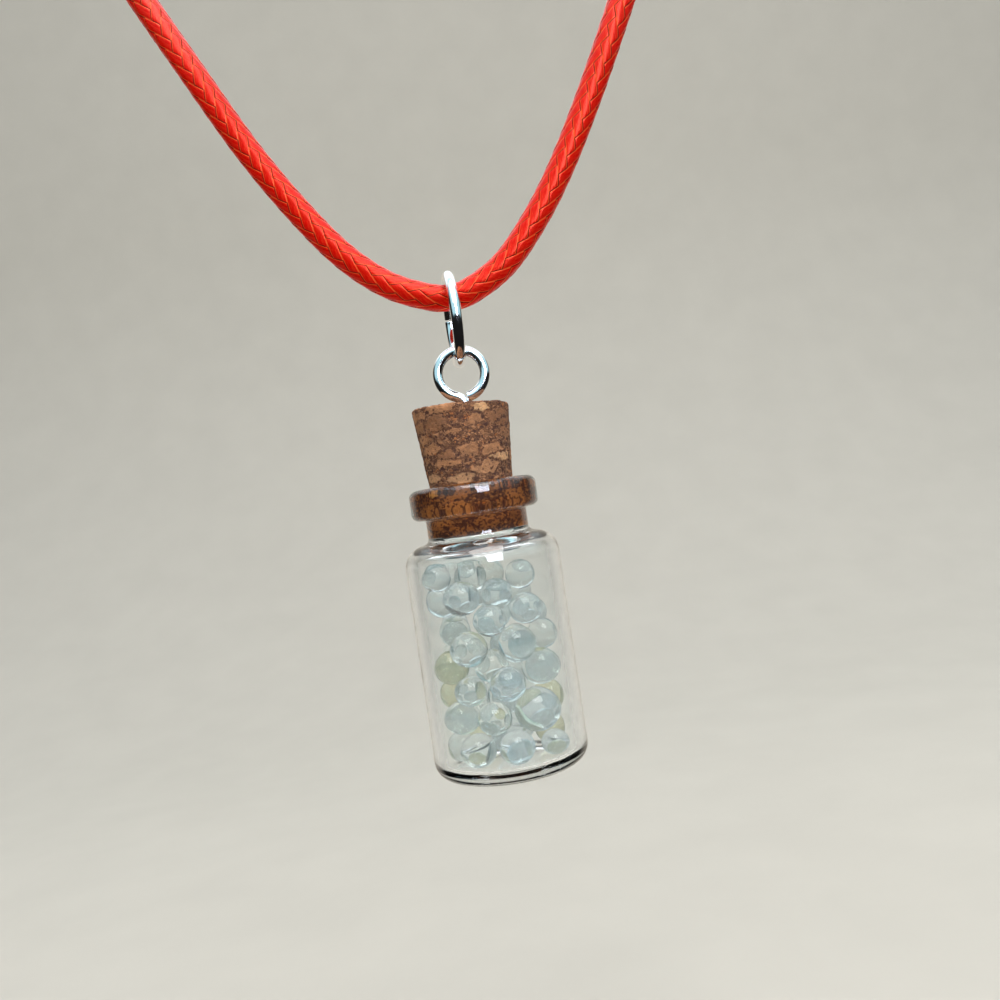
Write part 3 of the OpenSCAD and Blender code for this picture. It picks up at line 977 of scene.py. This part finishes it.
def cloudy_glass(balls):
    """Cheap pressed glass balls: clear to faintly milky, each its own shade, with tiny bubbles inside."""
    material, tree = new_material("faintly milky glass")
    place = put(tree, "ShaderNodeTexCoord")["Object"]
    cloud = put(tree, "ShaderNodeAttribute", attribute_name="cloud")["Fac"]
    haze = put(tree, "ShaderNodeTexNoise", {"Vector": place, "Scale": 1.3 / MM, "Detail": 3})[0]
    milky = put(tree, "ShaderNodeMath", {0: haze, 1: 0.8, 2: cloud}, operation="MULTIPLY_ADD")[0]
    milky = put(tree, "ShaderNodeMapRange", {0: milky, 1: 0.3, 2: 1.3})[0]
    colour = put(tree, "ShaderNodeMix", {0: milky, 6: balls.clear, 7: balls.cloudy}, data_type="RGBA")[2]
    aged_below = 0.08
    aged = put(tree, "ShaderNodeMath", {0: cloud, 1: aged_below}, operation="LESS_THAN")[0]
    colour = put(tree, "ShaderNodeMix", {0: aged, 6: colour, 7: balls.aged}, data_type="RGBA")[2]

    # The milkiness and the bubbles hold some light back
    bubbles = put(tree, "ShaderNodeTexNoise", {"Vector": place, "Scale": 3.5 / MM, "Detail": 2})[0]
    bubbles = put(tree, "ShaderNodeMapRange", {0: bubbles, 1: 0.55, 2: 0.7, 3: 0, 4: 0.12})[0]
    through = put(tree, "ShaderNodeMapRange", {0: milky, 3: 0.99, 4: 0.9})[0]
    through = put(tree, "ShaderNodeMath", {0: through, 1: bubbles}, operation="SUBTRACT")[0]
    rough = put(tree, "ShaderNodeMapRange", {0: haze, 1: 0.4, 2: 0.75, 3: 0.02, 4: 0.12})[0]
    bump = put(tree, "ShaderNodeBump", {"Strength": 0.3, "Distance": 0.03 * MM, "Height": haze})[0]
    shader = put(tree, "ShaderNodeBsdfPrincipled", {
        "Base Color": colour, "Roughness": rough, "Normal": bump,
        "IOR": 1.45, "Transmission Weight": through,
    })[0]
    put(tree, "ShaderNodeOutputMaterial", {"Surface": shader})
    return material


class PENDANT_OT_make_stage(bpy.types.Operator):
    """Set up the camera, the pale floor with its backdrop, and the lights"""

    bl_idname = "pendant.make_stage"
    bl_label = "Stage"

    def execute(self, context):
        stage = context.scene.pendant.stage
        self.camera(context, stage)
        self.floor(stage)
        self.lights()
        self.surroundings(context.scene)
        context.scene.view_settings.view_transform = "Standard"
        bounces = 24     # enough to see through the vial and the balls in it
        context.scene.cycles.max_bounces = bounces
        context.scene.cycles.transmission_bounces = bounces
        return {"FINISHED"}

    def camera(self, context, stage):
        """The camera stands level in front of the bottle, rolled so that the bottle hangs askew."""
        data = bpy.data.cameras.new("camera")
        data.lens = stage.lens
        data.sensor_width = 36
        data.clip_start = 5 * MM
        eye = bpy.data.objects.new("camera", data)
        context.scene.collection.objects.link(eye)
        level = Matrix.Rotation(math.pi / 2, 4, "X")
        rolled = Matrix.Rotation(stage.roll, 4, "Y")
        eye.matrix_world = Matrix.Translation(stage.eye) @ rolled @ level
        context.scene.camera = eye

    def floor(self, stage):
        """A floor that sweeps up into a backdrop behind the pendant."""
        width = 1.8
        depth = 1.3
        behind = 0.3
        rise = 0.5
        bend = 0.22
        level = CAD_BOX[0].z - stage.floor_drop
        bpy.ops.object.select_all(action="DESELECT")
        bpy.ops.mesh.primitive_plane_add(size=1, location=(0, behind - depth / 2, level))
        sweep = bpy.context.object
        sweep.scale = (width, depth, 1)
        bpy.ops.object.transform_apply(location=True, rotation=True, scale=True)
        far = max(v.co.y for v in sweep.data.vertices)
        bpy.ops.object.mode_set(mode="EDIT")
        bpy.ops.mesh.select_mode(type="EDGE")
        bpy.ops.mesh.select_all(action="DESELECT")
        self.select_back_edge(sweep, far, level)
        bpy.ops.mesh.extrude_region_move(TRANSFORM_OT_translate={"value": (0, 0, rise)})
        self.select_back_edge(sweep, far, level)
        bpy.ops.mesh.bevel(offset=bend, segments=16, affect="EDGES")
        bpy.ops.object.mode_set(mode="OBJECT")
        bpy.ops.object.shade_smooth()
        sweep.name = "floor_sweep"
        sweep.visible_glossy = False
        sweep.data.materials.append(self.matt_paper(stage))

    def select_back_edge(self, sweep, far, level):
        """Selects the floor's rearmost edge alone, and stays in edit mode."""
        bpy.ops.object.mode_set(mode="OBJECT")
        for edge in sweep.data.edges:
            ends = [sweep.data.vertices[v].co for v in edge.vertices]
            edge.select = all(end.y > far - MM and end.z < level + MM for end in ends)
        bpy.ops.object.mode_set(mode="EDIT")

    def matt_paper(self, stage):
        """Seamless backdrop paper: matt and plain, with a hardly visible mottle."""
        material, tree = new_material("matt backdrop paper")
        place = put(tree, "ShaderNodeTexCoord")["Object"]
        mottle = put(tree, "ShaderNodeTexNoise", {"Vector": place, "Scale": 60, "Detail": 5})[0]
        shade = put(tree, "ShaderNodeMapRange", {0: mottle, 1: 0.3, 2: 0.7, 3: 0.98, 4: 1.02})[0]
        colour = put(
            tree, "ShaderNodeVectorMath", {0: list(stage.colour)[:3], "Scale": shade}, operation="SCALE"
        )[0]
        shader = put(tree, "ShaderNodeBsdfPrincipled", {
            "Base Color": colour, "Roughness": 0.9, "Specular IOR Level": 0.2,
        })[0]
        put(tree, "ShaderNodeOutputMaterial", {"Surface": shader})
        return material

    def lights(self):
        """A soft window high in front, a pane and a skylight in the gloss, a wide fill and a ceiling."""
        bottle_low, bottle_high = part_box("bottle")
        target = (bottle_low + bottle_high) / 2
        for name, towards, distance, size, power, colour, shows in (
            ("window", (0.15, -0.6, 1), 0.55, (0.38, 0.34), 3.1, "#FFFCF8", "both"),
            ("pane", (0.36, -1, 0.39), 0.5, (0.2, 0.3), 4, "#ECEEFF", "gloss"),
            ("skylight", (0.1, -0.5, 1), 0.6, (0.9, 0.7), 4.5, "#F2F2FF", "gloss"),
            ("fill", (0.1, -1, 0.6), 0.9, (1.2, 1.2), 0.15, "#F4F8FF", "matt"),
            ("ceiling", (0, -0.1, 1), 1.5, (3.2, 2.4), 24, "#FCFEFF", "matt"),
        ):
            data = bpy.data.lights.new(name, "AREA")
            data.shape = "RECTANGLE"
            data.size, data.size_y = size
            data.energy = power
            data.color = linear(colour)[:3]
            lamp = bpy.data.objects.new(name, data)
            bpy.context.scene.collection.objects.link(lamp)
            lamp.visible_glossy = shows != "matt"
            lamp.visible_diffuse = shows != "gloss"
            lamp.visible_transmission = shows == "both"
            away = Vector(towards).normalized()
            lamp.location = target + away * distance
            lamp.rotation_mode = "QUATERNION"
            lamp.rotation_quaternion = (-away).to_track_quat("-Z", "Y")

    def surroundings(self, scene):
        """What gloss and glass show: bright overhead, cool sky in front, pale behind, dark elsewhere."""
        world = bpy.data.worlds.new("room")
        scene.world = world
        world.cycles_visibility.diffuse = False
        world.use_nodes = True
        tree = world.node_tree
        tree.nodes.clear()
        towards = put(tree, "ShaderNodeTexCoord")["Generated"]
        axes = put(tree, "ShaderNodeSeparateXYZ", {0: towards})
        facing = put(
            tree, "ShaderNodeVectorMath", {0: towards, 1: (0.2, -0.73, 0.65)}, operation="DOT_PRODUCT"
        )["Value"]

        # How far a direction lies behind, in front, above the horizon, high and rearward, 0 to 1
        behind, front, above, high, rearward = (
            put(tree, "ShaderNodeMapRange", {0: value, 1: start, 2: full}, interpolation_type="SMOOTHSTEP")[0]
            for value, start, full in (
                (axes["Y"], 0.45, 0.7), (facing, 0.08, 0.36), (axes["Z"], -0.03, 0.12),
                (axes["Z"], 0.38, 0.68), (axes["Y"], 0, 0.4),
            )
        )
        sky = put(tree, "ShaderNodeMath", {0: front, 1: above}, operation="MULTIPLY")[0]
        overhead = put(tree, "ShaderNodeMath", {0: high, 1: rearward}, operation="MULTIPLY")[0]
        colour = linear("#1C1A19")
        for share, hex_colour, strength in (
            (behind, "#CCC5B8", 1.1), (sky, "#BEEAF4", 1.1), (overhead, "#F4FBFF", 1.8),
        ):
            glow = [strength * c for c in linear(hex_colour)]
            colour = put(tree, "ShaderNodeMix", {0: share, 6: colour, 7: glow}, data_type="RGBA")[2]
        seen = put(tree, "ShaderNodeLightPath")["Is Camera Ray"]
        plain = linear("#BFBCB4")
        colour = put(tree, "ShaderNodeMix", {0: seen, 6: colour, 7: plain}, data_type="RGBA")[2]
        glow = put(tree, "ShaderNodeBackground", {"Color": colour, "Strength": 1})[0]
        put(tree, "ShaderNodeOutputWorld", {"Surface": glow})


# The operators that read each group of settings
MAKERS = {
    "stage": (PENDANT_OT_make_stage,),
    "cord": (PENDANT_OT_make_cord,),
    "metal": (PENDANT_OT_make_clasp, PENDANT_OT_make_jump_ring, PENDANT_OT_make_screw_eye),
    "cork": (PENDANT_OT_make_cork,),
    "bottle": (PENDANT_OT_make_bottle,),
    "balls": (PENDANT_OT_make_balls,),
}


class PENDANT_PT_panel(bpy.types.Panel):
    """Lists the pendant's pieces with their sizes and colours"""

    bl_label = "Bottle pendant"
    bl_idname = "PENDANT_PT_panel"
    bl_space_type = "VIEW_3D"
    bl_region_type = "UI"
    bl_category = "Pendant"

    def draw(self, context):
        for group, makers in MAKERS.items():
            box = self.layout.box()
            values = getattr(context.scene.pendant, group)
            for name in values.__annotations__:
                box.prop(values, name)
            for maker in makers:
                box.operator(maker.bl_idname)


CLASSES = (
    CordSettings, MetalSettings, CorkSettings, BottleSettings, BallSettings, StageSettings, PendantSettings,
    *(maker for makers in MAKERS.values() for maker in makers), PENDANT_PT_panel,
)


def register():
    """Registers the classes and the scene's settings."""
    for cls in CLASSES:
        bpy.utils.register_class(cls)
    bpy.types.Scene.pendant = PointerProperty(type=PendantSettings)


def unregister():
    """Takes the settings and the classes away again."""
    del bpy.types.Scene.pendant
    for cls in reversed(CLASSES):
        bpy.utils.unregister_class(cls)


def main():
    """Makes the whole pendant on its stage."""
    register()
    bpy.ops.pendant.make_stage()
    bpy.ops.pendant.make_cord()
    bpy.ops.pendant.make_clasp()
    bpy.ops.pendant.make_jump_ring()
    bpy.ops.pendant.make_screw_eye()
    bpy.ops.pendant.make_cork()
    bpy.ops.pendant.make_bottle()
    bpy.ops.pendant.make_balls()


if __name__ == "__main__":
    main()
